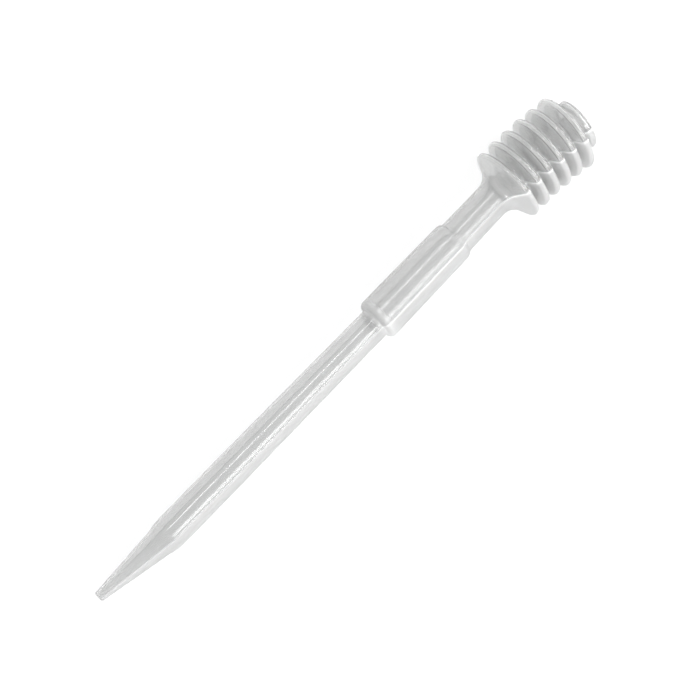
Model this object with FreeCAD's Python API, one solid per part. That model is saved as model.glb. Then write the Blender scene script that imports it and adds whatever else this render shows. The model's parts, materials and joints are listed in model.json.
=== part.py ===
import FreeCAD, Part
import math
import os
from collections import namedtuple

from FreeCAD import Placement, Rotation, Vector

# Dropper pipette with a bellows bulb, in millimetres. The real one is one blown piece of soft
# polyethylene, so this is one solid: a thin wall, open at the tip and closed at the bulb's end.
#
# The wall's section is a row of bends joined by straight runs. A bend's outside and inside are
# round about one centre, a wall apart, and one corner or a few flats that touch it stand for
# each round stretch. The section is turned round the pipette's own line, which is straight but
# for small leans: at the shoulder, at both ends of the collar, in the flare and in each root.
#
# The whole is then laid down as it comes to rest, on its shoulder, its first fold and its last.
# +X runs along it from tip to bulb, +Z is up, and the origin is on the table, under the middle.

# ---- wall ----
stem_wall = 0.6
bulb_wall = 0.45            # the bulb is blown out further, so its wall is thinner

# ---- tip ----
tip_d = 2.4                 # outside, at the orifice, whose bore is what the wall leaves
cone_length = 17.4
cone_foot_r = 3.0           # hollow bend where the cone meets the shoulder
shoulder_step = 0.58        # from the cone's outside out to the stem's
shoulder_slope = 16.0       # degrees from the line
shoulder_r = 11.0           # round bend where the shoulder meets the stem
tip_lean = 3.7              # degrees, to the left

# ---- stem ----
stem_d = 7.8
gauge_length = 14.0         # true cylinder next to the tip, where a rack or a clip holds the stem
stem_length = 64.4          # from the shoulder to the collar
stem_draft = 0.27           # how much thinner the stem's outside is at the collar, on the radius

# ---- collar and neck ----
collar_length = 26.7
collar_step = 1.45          # from the stem's outside out to the collar's
collar_foot_r = 1.15        # round lower corner
collar_foot_slope = 76.0
collar_draft = 0.24         # how much thinner the collar is at its top, on the radius
collar_top_r = 2.2          # round upper corner
collar_top_slope = 40.0
collar_top_step = 0.68      # from the collar's outside in to the neck's
step_r = 0.35               # hollow corner between the stem and the collar
neck_length = 11.0
neck_hollow_r = 0.8         # hollow corner between the collar and the neck
neck_draft = 0.1            # how much thinner the neck is at its top, on the radius
collar_lean = 0.5           # degrees, to the left, at each end of the collar

# ---- bellows bulb ----
flare_r = 4.0               # hollow bend from the neck out into the first fold
flare_slope = 64.0
crest_d = 18.3
crest_r = 0.8               # round bend in a crest
fold_depth = 3.75           # from a crest in to the root beside it
fold_pitch = 3.52
fold_count = 6
root_r = 0.35               # hollow bend in a root
fold_lean = 1.72            # degrees, in the flare and in each root between two folds
fold_lean_side = -148.5     # degrees round the line from the left side, over the top

# ---- end ----
end_step = 0.65             # from the last root out to the end's rim
end_slope = 68.0
end_rim = 0.9               # between its two corners, as round outside as the wall is thick

LEFT = 0.0                  # degrees round the line: 0 is the left side, 90 the top
BORE_LEAD = 1.0             # how far the bore is cut out past the tip's rim
SETTLING_ROUNDS = 12

# x is where a bend's centre lies along the line, reach is how far the outside comes from the
# line there, and r is the outside's radius: positive where it bulges out, negative where it is
# hollow. flats is how many flats stand for its round stretch.
Bend = namedtuple("Bend", "x reach r wall flats")

# The line leans at x, by an angle in degrees, towards one side.
Lean = namedtuple("Lean", "x angle side")

# A circle of the wall where two straight runs or flats meet.
Corner = namedtuple("Corner", "x r")


def next_bend(before, reach, r, wall, flats, slope):
    """The bend after another, as far along as makes the straight wall between them climb so."""
    climb = math.radians(slope)
    rise = (reach - r) - (before.reach - before.r)
    run = (rise * math.cos(climb) + r - before.r) / math.sin(climb)
    return Bend(before.x + run, reach, r, wall, flats)


def moved(bend, distance):
    return bend._replace(x=bend.x + distance)


def tip_bends():
    """The rim, the foot of the drawn cone and the shoulder."""
    reach = stem_d / 2
    rim = Bend(0.0, tip_d / 2, 0.0, stem_wall, 0)
    foot = Bend(cone_length, reach - shoulder_step, -cone_foot_r, stem_wall, 0)
    return rim, foot, next_bend(foot, reach, shoulder_r, stem_wall, 0, shoulder_slope)


def collar_bends(shoulder):
    """The collar's two hollow corners and, between them, its two round ones."""
    stem_reach = stem_d / 2 - stem_draft
    reach = stem_reach + collar_step
    top_reach = reach - collar_draft
    neck_reach = top_reach - collar_top_step
    step = Bend(shoulder.x + stem_length, stem_reach, -step_r, stem_wall, 0)
    foot = next_bend(step, reach, collar_foot_r, stem_wall, 1, collar_foot_slope)
    top = Bend(step.x, top_reach, collar_top_r, stem_wall, 1)
    neck = next_bend(top, neck_reach, -neck_hollow_r, stem_wall, 0, -collar_top_slope)
    back = step.x + collar_length - neck.x
    return step, foot, moved(top, back), moved(neck, back)


def fold_bends(neck):
    """The flare, and then a crest and a root for each fold."""
    crest_reach = crest_d / 2
    root_reach = crest_reach - fold_depth
    flare = Bend(neck.x + neck_length, neck.reach - neck_draft, -flare_r, stem_wall, 1)
    crest = next_bend(flare, crest_reach, crest_r, bulb_wall, 1, flare_slope)
    root = Bend(crest.x + fold_pitch / 2, root_reach, -root_r, bulb_wall, 1)
    turns = [turn * fold_pitch for turn in range(fold_count)]
    return flare, [moved(crest, turn) for turn in turns], [moved(root, turn) for turn in turns]


def end_bends(root):
    rim = next_bend(root, root.reach + end_step, bulb_wall, bulb_wall, 0, end_slope)
    return rim, moved(rim, end_rim)


def slope_between(a, b):
    """Slope of the straight run that touches two turns, each given as (x, height, radius)."""
    along, up = b[0] - a[0], b[1] - a[1]
    return math.atan2(up, along) + math.asin((b[2] - a[2]) / math.hypot(along, up))


def corners(bends, depth):
    """Corners of the outside (depth 0) or the inside (depth 1), up to the flat end."""
    turns = [(b.x, b.reach - b.r, b.r - depth * b.wall) for b in bends]
    slopes = [slope_between(a, b) for a, b in zip(turns, turns[1:])]
    slopes = slopes[:1] + slopes + [-math.pi / 2]
    found = []
    for bend, (x, height, r), arriving, leaving in zip(bends, turns, slopes, slopes[1:]):
        count = bend.flats + 1 if r else 1
        half = (leaving - arriving) / (2 * count)
        for i in range(count):
            slope = arriving + (2 * i + 1) * half
            out = r / math.cos(half)
            found.append(Corner(x - out * math.sin(slope), height + out * math.cos(slope)))
    return found


def led_out(bore):
    """The bore's corners, with the first moved back along its slope until it is past the rim."""
    first, second = bore[:2]
    slope = (second.r - first.r) / (second.x - first.x)
    return [Corner(-BORE_LEAD, first.r - slope * (first.x + BORE_LEAD))] + bore[1:]


class OwnLine:
    """The pipette's own line: straight stretches, one after each lean."""

    def __init__(self, leans):
        self.leans = leans
        self.stretches = [Placement()]
        for lean in leans:
            axis = Rotation(Vector(1, 0, 0), lean.side).multVec(Vector(0, 0, 1))
            turn = Placement(Vector(), Rotation(axis, lean.angle), Vector(lean.x, 0, 0))
            self.stretches.append(self.stretches[-1].multiply(turn))

    def stretch(self, x):
        return self.stretches[sum(lean.x < x for lean in self.leans)]

    def point(self, x):
        return self.stretch(x).multVec(Vector(x, 0, 0))

    def direction(self, x):
        return self.stretch(x).Rotation.multVec(Vector(1, 0, 0))

    def circle(self, corner):
        circle = Part.makeCircle(corner.r, Vector(corner.x, 0, 0), Vector(1, 0, 0))
        circle.Placement = self.stretch(corner.x)
        return Part.Wire(circle)

    def body(self, found):
        """Solid with straight walls from each corner's circle to the next."""
        return Part.makeLoft([self.circle(corner) for corner in found], True, True)

    def lowest(self, found, down):
        """The point of some corners' circles that lies furthest down."""
        points = []
        for corner in found:
            axis = self.direction(corner.x)
            outward = (down - axis * down.dot(axis)).normalize()
            points.append(self.point(corner.x) + outward * corner.r)
        return max(points, key=down.dot)


def resting_down(line, feet):
    """The way down, once the three feet have settled on the table. The first lies ahead."""
    down = Vector(0, 0, -1)
    for _ in range(SETTLING_ROUNDS):
        ahead, first, last = [line.lowest(foot, down) for foot in feet]
        normal = (last - ahead).cross(first - ahead).normalize()
        down = normal if normal.z < 0 else -normal
    return down


def laid_down(wall, line, feet, end):
    """The wall as it rests on its feet, with the middle of its underside at the origin."""
    down = resting_down(line, feet)
    forward = (end - down * end.dot(down)).normalize()
    upright = Rotation(forward, forward.cross(down), -down, "ZXY").inverted()
    table = upright.multVec(line.lowest(feet[0], down)).z
    wall = wall.transformed(Placement(Vector(), upright).toMatrix())
    box = wall.optimalBoundingBox(False, False)
    wall.translate(Vector(-box.Center.x, -box.Center.y, -table))
    return wall


def dropper_pipette():
    rim, cone_foot, shoulder = tip_bends()
    gauge_end = Bend(shoulder.x + gauge_length, stem_d / 2, 0.0, stem_wall, 0)
    step, collar_foot, collar_top, neck = collar_bends(shoulder)
    flare, crests, roots = fold_bends(neck)
    folds = [bend for pair in zip(crests, roots) for bend in pair]
    bends = [rim, cone_foot, shoulder, gauge_end, step, collar_foot, collar_top, neck, flare]
    bends += folds + list(end_bends(roots[-1]))

    leans = [Lean((cone_foot.x + shoulder.x) / 2, tip_lean, LEFT)]
    leans += [Lean(bend.x, collar_lean, LEFT) for bend in (step, collar_top)]
    leans += [Lean(bend.x, fold_lean, fold_lean_side) for bend in [flare] + roots[:-1]]
    line = OwnLine(leans)

    outside = corners(bends, 0)
    wall = line.body(outside).cut(line.body(led_out(corners(bends, 1))))
    feet = [[corner for corner in outside if abs(corner.x - bend.x) < abs(bend.r)]
            for bend in (shoulder, crests[0], crests[-1])]
    return laid_down(wall, line, feet, line.point(outside[-1].x))


os.makedirs("parts", exist_ok=True)
dropper_pipette().exportStep("parts/dropper_pipette.step")
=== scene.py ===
import json
import math
from collections import namedtuple

import bpy
from mathutils import Matrix, Vector


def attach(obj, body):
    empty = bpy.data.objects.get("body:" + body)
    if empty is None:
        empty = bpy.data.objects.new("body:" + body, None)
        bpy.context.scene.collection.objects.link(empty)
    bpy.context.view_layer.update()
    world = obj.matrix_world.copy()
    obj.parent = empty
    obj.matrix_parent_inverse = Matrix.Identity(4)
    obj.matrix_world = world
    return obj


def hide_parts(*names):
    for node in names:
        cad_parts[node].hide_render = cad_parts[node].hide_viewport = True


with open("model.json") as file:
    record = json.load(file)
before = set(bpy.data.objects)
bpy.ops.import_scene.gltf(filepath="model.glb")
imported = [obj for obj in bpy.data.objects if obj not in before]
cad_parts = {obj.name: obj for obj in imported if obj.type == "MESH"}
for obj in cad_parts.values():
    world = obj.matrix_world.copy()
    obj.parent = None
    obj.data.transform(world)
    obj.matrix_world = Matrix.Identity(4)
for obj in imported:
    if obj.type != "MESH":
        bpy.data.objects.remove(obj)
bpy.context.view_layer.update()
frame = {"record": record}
MM = 0.001

# ---- the wall ----
# The whole pipette is one blown piece of soft, natural polyethylene: a drawn tip, a stem, a
# collar, and a bulb of six bellows folds, closed at its end. The blow mould's two halves leave
# a fine raised line down each side. The wall is 0.6 mm thick, and 0.45 mm in the bulb.

Bend = namedtuple("Bend", "x reach r wall")  # centre along the line, reach, outside radius
Lean = namedtuple("Lean", "x angle side")    # the line bends at x, towards one side
ARC_STEP = math.radians(10)                  # between points on a bend
RUN_STEP = 2.5                               # between points on a straight run
SHORTEST_ARC = 0.01                          # a bend below this is one point

# Millimetres, and degrees for slopes and leans.
stem_wall, bulb_wall = 0.6, 0.45
tip_d, tip_edge_r, cone_length, cone_foot_r = 2.4, 0.12, 17.4, 3.0
shoulder_step, shoulder_slope, shoulder_r = 0.58, 16.0, 11.0
stem_d, gauge_length, stem_length, stem_draft = 7.8, 14.0, 64.4, 0.27
collar_length, collar_step, collar_draft = 26.7, 1.45, 0.24
collar_foot_r, collar_foot_slope, step_r = 1.15, 76.0, 0.35
collar_top_r, collar_top_slope, collar_top_step = 2.2, 40.0, 0.68
neck_length, neck_hollow_r, neck_draft = 11.0, 0.8, 0.1
flare_r, flare_slope = 4.0, 64.0
crest_d, crest_r, fold_depth, fold_pitch, fold_count, root_r = 18.3, 0.8, 3.75, 3.52, 6, 0.35
end_step, end_slope, end_rim = 0.65, 68.0, 0.9
tip_lean, collar_lean, fold_lean, fold_lean_side = 3.7, 0.5, 1.72, -148.5
tip_soft, collar_soft, flare_soft, root_soft = 1.0, 1.5, 1.2, 0.8  # each side of a lean
LEFT = 0.0                  # a side in degrees round the line: 0 is the left, 90 the top


def next_bend(before, reach, r, wall, slope):
    """The bend after another, as far along as makes the straight wall between them climb so."""
    climb = math.radians(slope)
    rise = (reach - r) - (before.reach - before.r)
    run = (rise * math.cos(climb) + r - before.r) / math.sin(climb)
    return Bend(before.x + run, reach, r, wall)


def moved(bend, distance):
    return bend._replace(x=bend.x + distance)


stem_reach = stem_d / 2
tip = Bend(tip_edge_r, tip_d / 2, tip_edge_r, stem_wall)
cone_foot = Bend(cone_length, stem_reach - shoulder_step, -cone_foot_r, stem_wall)
shoulder = next_bend(cone_foot, stem_reach, shoulder_r, stem_wall, shoulder_slope)
gauge_end = Bend(shoulder.x + gauge_length, stem_reach, 0.0, stem_wall)
step = Bend(shoulder.x + stem_length, stem_reach - stem_draft, -step_r, stem_wall)
collar_foot = next_bend(step, step.reach + collar_step, collar_foot_r, stem_wall,
                        collar_foot_slope)
collar_top = Bend(step.x, collar_foot.reach - collar_draft, collar_top_r, stem_wall)
neck = next_bend(collar_top, collar_top.reach - collar_top_step, -neck_hollow_r, stem_wall,
                 -collar_top_slope)
back = step.x + collar_length - neck.x
collar_top, neck = moved(collar_top, back), moved(neck, back)
flare = Bend(neck.x + neck_length, neck.reach - neck_draft, -flare_r, stem_wall)
crest = next_bend(flare, crest_d / 2, crest_r, bulb_wall, flare_slope)
root = Bend(crest.x + fold_pitch / 2, crest.reach - fold_depth, -root_r, bulb_wall)
next_crest = moved(crest, fold_pitch)
last_crest, last_root = [moved(bend, (fold_count - 1) * fold_pitch) for bend in (crest, root)]
rim = next_bend(last_root, last_root.reach + end_step, bulb_wall, bulb_wall, end_slope)
end = moved(rim, end_rim)
tip_lean_x = (cone_foot.x + shoulder.x) / 2


def run_of(bends, depth, first, last):
    """Points of the outside (depth 0) or the inside (depth 1), round at each bend."""
    turns = [(b.x, b.reach - b.r, b.r - depth * b.wall) for b in bends]
    slopes = [first]
    for (ax, ay, ar), (bx, by, br) in zip(turns, turns[1:]):
        span = math.hypot(bx - ax, by - ay)
        slopes.append(math.atan2(by - ay, bx - ax) + math.asin((br - ar) / span))
    slopes.append(last)
    found = []
    for (x, height, r), arriving, leaving in zip(turns, slopes, slopes[1:]):
        turn = leaving - arriving
        steps = math.ceil(abs(turn) / ARC_STEP) if abs(r * turn) > SHORTEST_ARC else 0
        arc = []
        for i in range(steps + 1):
            slope = arriving + turn * (i / steps if steps else 0.5)
            arc.append((x - r * math.sin(slope), height + r * math.cos(slope)))
        if found:
            (ax, ay), (bx, by) = found[-1], arc[0]
            pieces = int(math.hypot(bx - ax, by - ay) / RUN_STEP) + 1
            found += [(ax + (bx - ax) * i / pieces, ay + (by - ay) * i / pieces)
                      for i in range(1, pieces)]
        found += arc
    return found


# The section's drawing: the run ahead of the folds, out and in again round the tip's rim, the
# two runs of the end, and one fold, out and in, which the tree below repeats. Each run goes with
# whether it is the outer skin and whether it is repeated.
END_FACE = -math.pi / 2
ahead = [tip, cone_foot, shoulder, gauge_end, step, collar_foot, collar_top, neck, flare, crest]
behind = [last_crest, last_root, rim, end]
fold = [crest, root, next_crest]
ends = []
for depth in (0, 1):
    run = run_of(behind, depth, 0.0, END_FACE)
    ends.append(run + [(run[-1][0], 0.0)])
through = run_of(ahead, 0, math.pi / 2, 0.0)[::-1] + [(0.0, tip_d / 2 - stem_wall)]
through += run_of(ahead, 1, 0.0, 0.0)
drawing = [(ends[0], True, False), (through, True, False), (ends[1], False, False)]
drawing += [(run_of(fold, depth, 0.0, 0.0), depth == 0, True) for depth in (0, 1)]

spots, strokes, skin, repeats = [], [], [], []
for run, is_skin, is_repeated in drawing:
    strokes += [(len(spots) + i, len(spots) + i + 1) for i in range(len(run) - 1)]
    for i, (x, r) in enumerate(run):
        spots.append((x * MM, 0.0, r * MM))
        past_the_rim = run is through and i > len(run) // 2
        skin.append(float(is_skin and not past_the_rim))
        repeats.append(is_repeated)
section = bpy.data.meshes.new("wall section")
section.from_pydata(spots, strokes, [])
section.attributes.new("skin", "FLOAT", "POINT").data.foreach_set("value", skin)
section.attributes.new("repeats", "BOOLEAN", "POINT").data.foreach_set("value", repeats)


class Tree:
    """A Geometry Nodes tree under construction."""

    def __init__(self, name):
        self.tree = bpy.data.node_groups.new(name, "GeometryNodeTree")

    def named(self, name, kind, value=None, out=False):
        """A named input or output of the tree."""
        way = "OUTPUT" if out else "INPUT"
        socket = self.tree.interface.new_socket(name, in_out=way, socket_type="NodeSocket" + kind)
        if value is not None:
            socket.default_value = value
        return socket

    def add(self, kind, *feeds, **settings):
        """A node with its inputs fed in order. None leaves an input as it is."""
        node = self.tree.nodes.new(kind)
        for setting, value in settings.items():
            setattr(node, setting, value)
        sockets = [socket for socket in node.inputs if socket.enabled]
        for socket, feed in zip(sockets, feeds):
            if isinstance(feed, bpy.types.NodeSocket):
                self.tree.links.new(feed, socket)
            elif feed is not None:
                socket.default_value = feed
        return node

    def out(self, kind, *feeds, **settings):
        """The first output in use of a node that add makes."""
        node = self.add(kind, *feeds, **settings)
        return next(socket for socket in node.outputs if socket.enabled)

    def math(self, operation, *feeds):
        return self.out("ShaderNodeMath", *feeds, operation=operation)


# One lean of the line: what lies beyond it turns about it, a little at a time within its reach.
lean_tree = Tree("lean of the line")
for name, kind in (("Geometry", "Geometry"), ("At", "Float"), ("Angle", "Float"),
                   ("Side", "Float"), ("Soft", "Float")):
    lean_tree.named(name, kind)
lean_tree.named("Geometry", "Geometry", out=True)
given = lean_tree.add("NodeGroupInput").outputs
along = lean_tree.out("GeometryNodeInputNamedAttribute", "along", data_type="FLOAT")
near = lean_tree.math("SUBTRACT", given["At"], given["Soft"])
far = lean_tree.math("ADD", given["At"], given["Soft"])
share = lean_tree.out("ShaderNodeMapRange", along, near, far, 0.0, 1.0,
                      interpolation_type="SMOOTHSTEP")
pivot = lean_tree.out("ShaderNodeCombineXYZ", given["At"], 0.0, 0.0)
across = lean_tree.math("MULTIPLY", lean_tree.math("SINE", given["Side"]), -1.0)
axis = lean_tree.out("ShaderNodeCombineXYZ", 0.0, across,
                     lean_tree.math("COSINE", given["Side"]))
turned = lean_tree.out("ShaderNodeVectorRotate", lean_tree.out("GeometryNodeInputPosition"),
                       pivot, axis, lean_tree.math("MULTIPLY", given["Angle"], share),
                       rotation_type="AXIS_ANGLE")
leant = lean_tree.out("GeometryNodeSetPosition", given["Geometry"], True, turned)
lean_tree.tree.links.new(leant, lean_tree.add("NodeGroupOutput").inputs[0])

# The wall: the fold is repeated along the line, the whole section is turned round it, the mould
# lines are raised, the crests get their small unevenness, and then the line leans.
SECTION_WELD, SKIN_WELD = 0.002 * MM, 0.001 * MM
wall_tree = Tree("blown wall")
wall_tree.named("Geometry", "Geometry")
sizes = {
    "Folds": ("Int", fold_count),
    "Fold pitch": ("Float", fold_pitch * MM),
    "First crest": ("Float", crest.x * MM),
    "Root reach": ("Float", root.reach * MM),
    "Fold depth": ("Float", fold_depth * MM),
    "Crest unevenness": ("Float", 0.15 * MM),
    "Seed": ("Int", 4),
    "Wall unevenness": ("Float", 0.004 * MM),
    "Steps round": ("Int", 128),
    "Mould line side": ("Float", math.radians(120)),
    "Mould line height": ("Float", 0.18 * MM),
    "Mould line width": ("Float", 0.23 * MM),
    "Fold lean": ("Float", math.radians(fold_lean)),
    "Fold lean side": ("Float", math.radians(fold_lean_side)),
    "Flare at": ("Float", flare.x * MM),
    "Collar lean": ("Float", math.radians(collar_lean)),
    "Collar top at": ("Float", collar_top.x * MM),
    "Collar foot at": ("Float", step.x * MM),
    "Tip lean": ("Float", math.radians(tip_lean)),
    "Tip lean at": ("Float", tip_lean_x * MM),
}
for name, (kind, value) in sizes.items():
    wall_tree.named(name, kind, value)
wall_tree.named("Material", "Material")
wall_tree.named("Geometry", "Geometry", out=True)
given = wall_tree.add("NodeGroupInput").outputs
add, out, maths = wall_tree.add, wall_tree.out, wall_tree.math

is_fold = out("GeometryNodeInputNamedAttribute", "repeats", data_type="BOOLEAN")
parts = add("GeometryNodeSeparateGeometry", given["Geometry"], is_fold, domain="POINT").outputs
one_pitch = out("ShaderNodeCombineXYZ", given["Fold pitch"], 0.0, 0.0)
places = out("GeometryNodeMeshLine", maths("SUBTRACT", given["Folds"], 1), None, one_pitch)
folds = out("GeometryNodeInstanceOnPoints", places, None, parts[0])
joined = add("GeometryNodeJoinGeometry")
for piece in (out("GeometryNodeRealizeInstances", folds), parts[1]):
    wall_tree.tree.links.new(piece, joined.inputs[0])
whole = out("GeometryNodeMergeByDistance", joined.outputs[0], True, SECTION_WELD)
drawn = out("GeometryNodeMeshToCurve", whole)

rows = out("GeometryNodeAttributeDomainSize", drawn, component="CURVE")
columns = maths("ADD", given["Steps round"], 1)
sheet = out("GeometryNodeMeshGrid", 1.0, 1.0, rows, columns)
index = out("GeometryNodeInputIndex")
row = maths("FLOOR", maths("DIVIDE", maths("ADD", index, 0.5), columns))
column = maths("SUBTRACT", index, maths("MULTIPLY", row, columns))
spot = out("GeometryNodeSampleIndex", drawn, out("GeometryNodeInputPosition"), row,
           data_type="FLOAT_VECTOR", domain="POINT")
outer = out("GeometryNodeSampleIndex", drawn,
            out("GeometryNodeInputNamedAttribute", "skin", data_type="FLOAT"), row,
            data_type="FLOAT", domain="POINT")
spot_x, _, spot_r = add("ShaderNodeSeparateXYZ", spot).outputs

# Steps round are closest together at the two mould lines.
crowding = 0.4
even = maths("MULTIPLY", maths("DIVIDE", column, given["Steps round"]), math.tau)
drawn_in = maths("MULTIPLY", maths("SINE", maths("MULTIPLY", even, 2.0)), crowding)
from_line = maths("SUBTRACT", even, drawn_in)
side = maths("ADD", from_line, given["Mould line side"])

# The further the wall was blown out, the higher its mould line. On the stem it is a quarter as
# high as on the folds, and it dies out towards the middle of the end.
stem_share, faint_reach, full_reach, end_reach = 0.25, 4.0 * MM, 6.0 * MM, 2.0 * MM
off_line = maths("MULTIPLY", maths("SINE", from_line), spot_r)
ridge = maths("DIVIDE", off_line, given["Mould line width"])
ridge = maths("EXPONENT", maths("MULTIPLY", maths("MULTIPLY", ridge, ridge), -1.0))
blown = out("ShaderNodeMapRange", spot_r, faint_reach, full_reach, stem_share, 1.0)
off_axis = out("ShaderNodeMapRange", spot_r, 0.0, end_reach, 0.0, 1.0)
ridge = maths("MULTIPLY", ridge, maths("MULTIPLY", maths("MULTIPLY", blown, outer), off_axis))
raised = maths("MULTIPLY", ridge, given["Mould line height"])

# Each crest falls a little short of its full reach, by its own chance.
which = maths("ROUND", maths("DIVIDE", maths("SUBTRACT", spot_x, given["First crest"]),
                             given["Fold pitch"]))
chance = out("FunctionNodeRandomValue", 0.0, 1.0, which, given["Seed"], data_type="FLOAT")
height = maths("DIVIDE", maths("SUBTRACT", spot_r, given["Root reach"]), given["Fold depth"])
height = out("ShaderNodeClamp", height, 0.0, 1.0)
short = maths("MULTIPLY", maths("MULTIPLY", chance, height), given["Crest unevenness"])


def round_the_line(reach):
    return out("ShaderNodeCombineXYZ", spot_x, maths("MULTIPLY", reach, maths("COSINE", side)),
               maths("MULTIPLY", reach, maths("SINE", side)))


# The blown wall is slightly wavy. The skins' waves differ, so its thickness varies too.
wave_scale, wave_detail = 45.0, 1.0
skins_apart = maths("MULTIPLY", outer, 7.0)
wave = out("ShaderNodeTexNoise", round_the_line(spot_r), skins_apart, wave_scale, wave_detail,
           noise_dimensions="4D")
wave = out("ShaderNodeMapRange", wave, 0.25, 0.75, -1.0, 1.0)
wave = maths("MULTIPLY", maths("MULTIPLY", wave, off_axis), given["Wall unevenness"])

reach = maths("SUBTRACT", maths("ADD", maths("ADD", spot_r, wave), raised), short)
place = round_the_line(reach)
turned = out("GeometryNodeSetPosition", sheet, True, place)
turned = out("GeometryNodeStoreNamedAttribute", turned, True, "straight", place,
             data_type="FLOAT_VECTOR", domain="POINT")
for name, value in (("along", spot_x), ("mould line", ridge), ("off line", off_line),
                    ("outer skin", outer)):
    turned = out("GeometryNodeStoreNamedAttribute", turned, True, name, value,
                 data_type="FLOAT", domain="POINT")
turned = out("GeometryNodeMergeByDistance", turned, True, SKIN_WELD)


def lean(geometry, at, angle, side, soft):
    return out("GeometryNodeGroup", geometry, at, angle, side, soft, node_tree=lean_tree.tree)


# The furthest root leans first, so that each lean turns all that lies beyond it.
first_root = maths("ADD", given["First crest"], maths("DIVIDE", given["Fold pitch"], 2.0))
repeat_in = add("GeometryNodeRepeatInput")
repeat_out = add("GeometryNodeRepeatOutput")
repeat_in.pair_with_output(repeat_out)
wall_tree.tree.links.new(maths("SUBTRACT", given["Folds"], 1), repeat_in.inputs["Iterations"])
wall_tree.tree.links.new(turned, repeat_in.inputs["Geometry"])
folds_ahead = maths("SUBTRACT", maths("SUBTRACT", given["Folds"], 2),
                    repeat_in.outputs["Iteration"])
root_at = maths("ADD", first_root, maths("MULTIPLY", folds_ahead, given["Fold pitch"]))
leant = lean(repeat_in.outputs["Geometry"], root_at, given["Fold lean"],
             given["Fold lean side"], root_soft * MM)
wall_tree.tree.links.new(leant, repeat_out.inputs["Geometry"])
leant = lean(repeat_out.outputs["Geometry"], given["Flare at"], given["Fold lean"],
             given["Fold lean side"], flare_soft * MM)
for at in (given["Collar top at"], given["Collar foot at"]):
    leant = lean(leant, at, given["Collar lean"], math.radians(LEFT), collar_soft * MM)
leant = lean(leant, given["Tip lean at"], given["Tip lean"], math.radians(LEFT), tip_soft * MM)
smooth = out("GeometryNodeSetShadeSmooth", leant)
real = out("GeometryNodeRealizeInstances", smooth)
finished = out("GeometryNodeSetMaterial", real, True, given["Material"])
wall_tree.tree.links.new(finished, add("NodeGroupOutput").inputs[0])

# Natural polyethylene, milky and half clear, and milkier in the bulb. One half of the mould was
# polished and the other blasted, so the outer skin is glossy up to the mould line and duller and
# cloudier past it. Inside, nothing touched the wall, and it is glossy all round. It is faintly
# clouded and drawn lengthwise, and cloudy at the collar's foot. The mould line is painted pale,
# a painted highlight for the sheen on its raised ridge.
polyethylene = bpy.data.materials.new("natural polyethylene")
polyethylene.use_nodes = True
nodes, links = polyethylene.node_tree.nodes, polyethylene.node_tree.links
resin = nodes["Principled BSDF"]
resin.inputs["IOR"].default_value = 1.51


def shade(kind, feeds, output=0, **settings):
    """The wanted output of a new node of the resin, with its inputs fed by name or place."""
    node = nodes.new(kind)
    for setting, value in settings.items():
        setattr(node, setting, value)
    for socket, feed in feeds.items():
        if isinstance(feed, bpy.types.NodeSocket):
            links.new(feed, node.inputs[socket])
        else:
            node.inputs[socket].default_value = feed
    return node.outputs[output]


def blend_of(share, low, high, low_at=0.0, high_at=1.0):
    return shade("ShaderNodeMapRange", {"Value": share, "From Min": low_at, "From Max": high_at,
                                        "To Min": low, "To Max": high})


def product(a, b):
    return shade("ShaderNodeMath", {0: a, 1: b}, operation="MULTIPLY")


def total(a, b):
    return shade("ShaderNodeMath", {0: a, 1: b}, operation="ADD")


straight = shade("ShaderNodeAttribute", {}, "Vector", attribute_name="straight")
on_line_share = shade("ShaderNodeAttribute", {}, "Fac", attribute_name="mould line")
off_line_by = shade("ShaderNodeAttribute", {}, "Fac", attribute_name="off line")
outer_skin = shade("ShaderNodeAttribute", {}, "Fac", attribute_name="outer skin")
along_line = shade("ShaderNodeAttribute", {}, "Fac", attribute_name="along")

drawn_out = shade("ShaderNodeMapping", {"Vector": straight, "Scale": (8.0, 1400.0, 1400.0)})
streaks = shade("ShaderNodeTexNoise", {"Vector": drawn_out, "Scale": 1.0, "Detail": 2.0})
clouds = shade("ShaderNodeTexNoise", {"Vector": straight, "Scale": 260.0, "Detail": 3.0})
pores = shade("ShaderNodeTexNoise", {"Vector": straight, "Scale": 5200.0, "Detail": 1.0})

LOW, HIGH = 0.3, 0.7        # a noise varies between these

# Each is 1 on its own part of the wall, and blends to 0 beside it.
line_blend, foot_fade = 0.1, 1.5
blasted = product(blend_of(off_line_by, 0.0, 1.0, -line_blend * MM, line_blend * MM), outer_skin)
collar_on = blend_of(along_line, 0.0, 1.0, step.x * MM, collar_foot.x * MM)
bulb_on = blend_of(along_line, 0.0, 1.0, flare.x * MM, crest.x * MM)
foot_on = product(blend_of(along_line, 0.0, 1.0, (step.x - foot_fade) * MM, step.x * MM),
                  blend_of(along_line, 1.0, 0.0, collar_foot.x * MM,
                           (collar_foot.x + foot_fade) * MM))

# Paleness. The mould line is painted paler, a painted highlight for the sheen on its ridge. The
# cap keeps the mould line short of full white.
stem_milk, bulb_milk, cloud_milk, painted_line_highlight, milk_cap = 0.87, 0.965, 0.015, 0.12, 0.98
blasted_stem_milk, blasted_bulb_milk = 0.02, -0.03
green_tinge, blue_tinge = 0.003, 0.001
milk = total(blend_of(clouds, -cloud_milk, cloud_milk, LOW, HIGH),
             blend_of(bulb_on, stem_milk, bulb_milk))
# The blasted half's own paleness, and the mould line's painted highlight.
milk = total(milk, total(product(blasted, blend_of(bulb_on, blasted_stem_milk, blasted_bulb_milk)),
                         product(on_line_share, painted_line_highlight)))
milk = shade("ShaderNodeMath", {0: milk, 1: milk_cap}, operation="MINIMUM")
colour = shade("ShaderNodeCombineColor", {"Red": milk, "Green": total(milk, green_tinge),
                                          "Blue": total(milk, blue_tinge)})
links.new(colour, resin.inputs["Base Color"])

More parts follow.
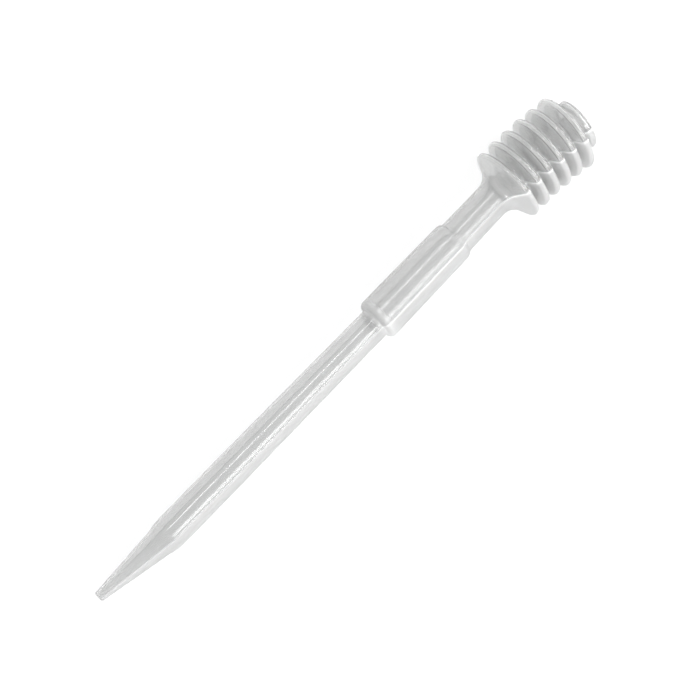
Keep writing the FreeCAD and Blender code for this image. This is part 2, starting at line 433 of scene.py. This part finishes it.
# Dullness.
streak_low, streak_high, blasted_dull, line_dull_share, collar_dull = 0.07, 0.12, 0.3, 0.2, 0.09
blasted_only = product(blasted, blend_of(on_line_share, 1.0, line_dull_share))
dull = total(blend_of(streaks, streak_low, streak_high, LOW, HIGH),
             product(blasted_only, blasted_dull))
dull = total(dull, product(collar_on, blend_of(bulb_on, collar_dull, 0.0)))
links.new(dull, resin.inputs["Roughness"])

# Clearness. The mould line loses most of it, so that its painted highlight shows.
stem_clear, bulb_clear, line_loss, foot_loss = 0.88, 0.80, 0.85, 0.3
blasted_stem_loss, blasted_bulb_loss = 0.3, 0.32
blasted_loss = product(blasted, blend_of(bulb_on, blasted_stem_loss, blasted_bulb_loss))
clear = total(blend_of(bulb_on, stem_clear, bulb_clear),
              total(product(blasted_loss, -1.0), product(on_line_share, -line_loss)))
clear = total(clear, product(foot_on, -foot_loss))
links.new(clear, resin.inputs["Transmission Weight"])

# Fine relief: drawn streaks all over, and the blasted half's grain.
streak_depth, polished_grain, blasted_grain = 0.2, 0.003, 0.5
relief = total(product(streaks, streak_depth),
               product(pores, blend_of(blasted, polished_grain, blasted_grain)))
bumps = shade("ShaderNodeBump", {"Height": relief, "Strength": 0.2, "Distance": 0.02 * MM})
links.new(bumps, resin.inputs["Normal"])
depths = nodes.new("ShaderNodeVolumeAbsorption")
depths.inputs["Color"].default_value = (0.30, 0.31, 0.305, 1.0)
depths.inputs["Density"].default_value = 30.0
links.new(depths.outputs[0], nodes["Material Output"].inputs["Volume"])

# The modifier turns the drawing into the wall, and a plain mesh is taken from it.
wall = bpy.data.objects.new("dropper_pipette_wall", section)
bpy.context.scene.collection.objects.link(wall)
blow = wall.modifiers.new("blown wall", "NODES")
blow.node_group = wall_tree.tree
for socket in wall_tree.tree.interface.items_tree:
    if socket.in_out == "INPUT" and socket.name == "Material":
        blow[socket.identifier] = polyethylene
evaluated = wall.evaluated_get(bpy.context.evaluated_depsgraph_get())
skin_mesh = bpy.data.meshes.new_from_object(evaluated)
wall.modifiers.clear()
wall.data = skin_mesh

# The pipette lies on its shoulder, its first fold and its last. Its place is the record's.
leans = [Lean(tip_lean_x, tip_lean, LEFT)]
leans += [Lean(bend.x, collar_lean, LEFT) for bend in (step, collar_top)]
leans += [Lean(flare.x, fold_lean, fold_lean_side)]
leans += [Lean(root.x + i * fold_pitch, fold_lean, fold_lean_side) for i in range(fold_count - 1)]


def on_line(x):
    """Where the line's own frame lies at x."""
    place = Matrix()
    for bend in leans:
        if bend.x < x:
            side = math.radians(bend.side)
            axis = Vector((0.0, -math.sin(side), math.cos(side)))
            pivot = Matrix.Translation((bend.x * MM, 0.0, 0.0))
            turn = Matrix.Rotation(math.radians(bend.angle), 4, axis)
            place = place @ pivot @ turn @ pivot.inverted()
    return place


def lowest(bend, down):
    """The point of a bend's circle that lies furthest down."""
    place = on_line(bend.x)
    axis = place.to_3x3() @ Vector((1.0, 0.0, 0.0))
    outward = (down - axis * down.dot(axis)).normalized()
    return place @ Vector((bend.x * MM, 0.0, 0.0)) + outward * bend.reach * MM


SETTLING_ROUNDS = 12
down = Vector((0.0, 0.0, -1.0))
for _ in range(SETTLING_ROUNDS):
    shoulder_foot, first_foot, last_foot = [lowest(bend, down)
                                            for bend in (shoulder, crest, last_crest)]
    normal = (last_foot - shoulder_foot).cross(first_foot - shoulder_foot).normalized()
    down = normal if normal.z < 0 else -normal
end_point = on_line(end.x) @ Vector((end.x * MM, 0.0, 0.0))
forward = (end_point - down * end_point.dot(down)).normalized()
upright = Matrix((forward, forward.cross(down), -down))
stem_mount = next(mount for mount in frame["record"]["mounts"] if mount["name"] == "stem")
gauge_x = gauge_end.x - stem_mount["dims"]["length_mm"] / 2
gauge_middle = on_line(gauge_x) @ Vector((gauge_x * MM, 0.0, 0.0))
lying = Matrix.Translation(Vector(stem_mount["pos_m"]) - upright @ gauge_middle) @ upright.to_4x4()
wall.data.transform(lying)

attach(wall, "root")
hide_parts("dropper_pipette")

# ---- the table ----
# A plain white table under soft studio light. It is lit a little short of white, and glows
# just enough towards the camera to come out white, so that only the pipette's shadow shows.


def any_look_in(nodes, links):
    """1 for a ray that shows its target: the camera's, or one that a gloss or the resin sends."""
    seen = nodes.new("ShaderNodeLightPath")
    look = seen.outputs["Is Camera Ray"]
    for kind in ("Is Glossy Ray", "Is Transmission Ray"):
        either = nodes.new("ShaderNodeMath")
        either.operation = "MAXIMUM"
        links.new(look, either.inputs[0])
        links.new(seen.outputs[kind], either.inputs[1])
        look = either.outputs[0]
    return look


table_mesh = bpy.data.meshes.new("table")
half = 2.0
table_mesh.from_pydata([(-half, -half, 0), (half, -half, 0), (half, half, 0), (-half, half, 0)],
                       [], [(0, 1, 2, 3)])
table = bpy.data.objects.new("table", table_mesh)
bpy.context.scene.collection.objects.link(table)
white = bpy.data.materials.new("white table")
white.use_nodes = True
nodes, links = white.node_tree.nodes, white.node_tree.links
nodes.clear()
laminate = nodes.new("ShaderNodeBsdfDiffuse")
laminate.inputs["Color"].default_value = (0.8, 0.8, 0.8, 1.0)
shaded = nodes.new("ShaderNodeBsdfDiffuse")
shaded.inputs["Color"].default_value = (0.25, 0.25, 0.25, 1.0)
glow = nodes.new("ShaderNodeEmission")
glow.inputs["Strength"].default_value = 0.84
glowing = nodes.new("ShaderNodeAddShader")
links.new(shaded.outputs[0], glowing.inputs[0])
links.new(glow.outputs[0], glowing.inputs[1])
by_look = nodes.new("ShaderNodeMixShader")
links.new(any_look_in(nodes, links), by_look.inputs[0])
links.new(laminate.outputs[0], by_look.inputs[1])
links.new(glowing.outputs[0], by_look.inputs[2])
surface = nodes.new("ShaderNodeOutputMaterial")
links.new(by_look.outputs[0], surface.inputs["Surface"])
table_mesh.materials.append(white)

# ---- the light ----
# Four soft lamps in a pale room: a big soft box on the right and a strip on the left give the
# streaks along the stem, one past the bulb the arcs on the crests, and one before the tip lights
# the flanks. The room looks white, but lights the pipette a little less than that.
room = bpy.data.worlds.new("pale room")
bpy.context.scene.world = room
room.use_nodes = True
nodes, links = room.node_tree.nodes, room.node_tree.links
nodes["Background"].inputs["Color"].default_value = (1.0, 1.0, 1.0, 1.0)
strength = nodes.new("ShaderNodeMapRange")
strength.inputs["To Min"].default_value = 0.6
strength.inputs["To Max"].default_value = 1.0
links.new(any_look_in(nodes, links), strength.inputs["Value"])
links.new(strength.outputs[0], nodes["Background"].inputs["Strength"])


def soft_box(name, place, target, width, height, power):
    lamp = bpy.data.lights.new(name, "AREA")
    lamp.shape = "RECTANGLE"
    lamp.size, lamp.size_y, lamp.energy = width, height, power
    box = bpy.data.objects.new(name, lamp)
    bpy.context.scene.collection.objects.link(box)
    box.location = place
    box.rotation_euler = (Vector(target) - Vector(place)).to_track_quat("-Z", "Y").to_euler()


soft_box("soft box on the right", (0.075, -0.29, 0.53), (0.075, 0, 0), 0.34, 0.2, 1.2)
soft_box("strip light on the left", (0.075, 0.27, 0.5), (0.075, 0, 0), 0.34, 0.05, 0.4)
soft_box("soft box past the bulb", (0.6, -0.12, 0.22), (0.07, 0, 0), 0.4, 0.22, 1.7)
soft_box("soft box before the tip", (-0.42, -0.42, 0.3), (0.05, 0, 0), 0.3, 0.2, 1.1)

# ---- the camera ----
# It looks square across the stem from above, turned a little towards the tip's end.
camera = bpy.data.objects.new("camera", bpy.data.cameras.new("camera"))
bpy.context.scene.collection.objects.link(camera)
bpy.context.scene.camera = camera
camera.data.sensor_width = 36.0
camera.data.lens = 471.9
camera.data.clip_start, camera.data.clip_end = 0.1, 10.0
DISTANCE = 2.0
towards_tip = math.radians(11.4)
stem_slant = math.radians(45.66)       # the stem's climb to the right across the view
aim_x, aim_right = step.x - 8, 0.27    # the middle of the view

stem_way = on_line(gauge_end.x).to_3x3() @ Vector((1.0, 0.0, 0.0))
left = Vector((-stem_way.y, stem_way.x, 0.0))
top = Vector((0.0, 0.0, 1.0))
look = stem_way * math.sin(towards_tip) - top * math.cos(towards_tip)
up_stem = stem_way * math.cos(towards_tip) + top * math.sin(towards_tip)
view_right = math.cos(stem_slant) * up_stem - math.sin(stem_slant) * left
view_up = math.sin(stem_slant) * up_stem + math.cos(stem_slant) * left
aim = on_line(aim_x) @ Vector((aim_x * MM, 0.0, 0.0)) - aim_right * left * MM
placing = Matrix((view_right, view_up, -look)).transposed().to_4x4()
placing.translation = aim - look * DISTANCE
camera.matrix_world = lying @ placing

bpy.context.scene.view_settings.view_transform = "Standard"
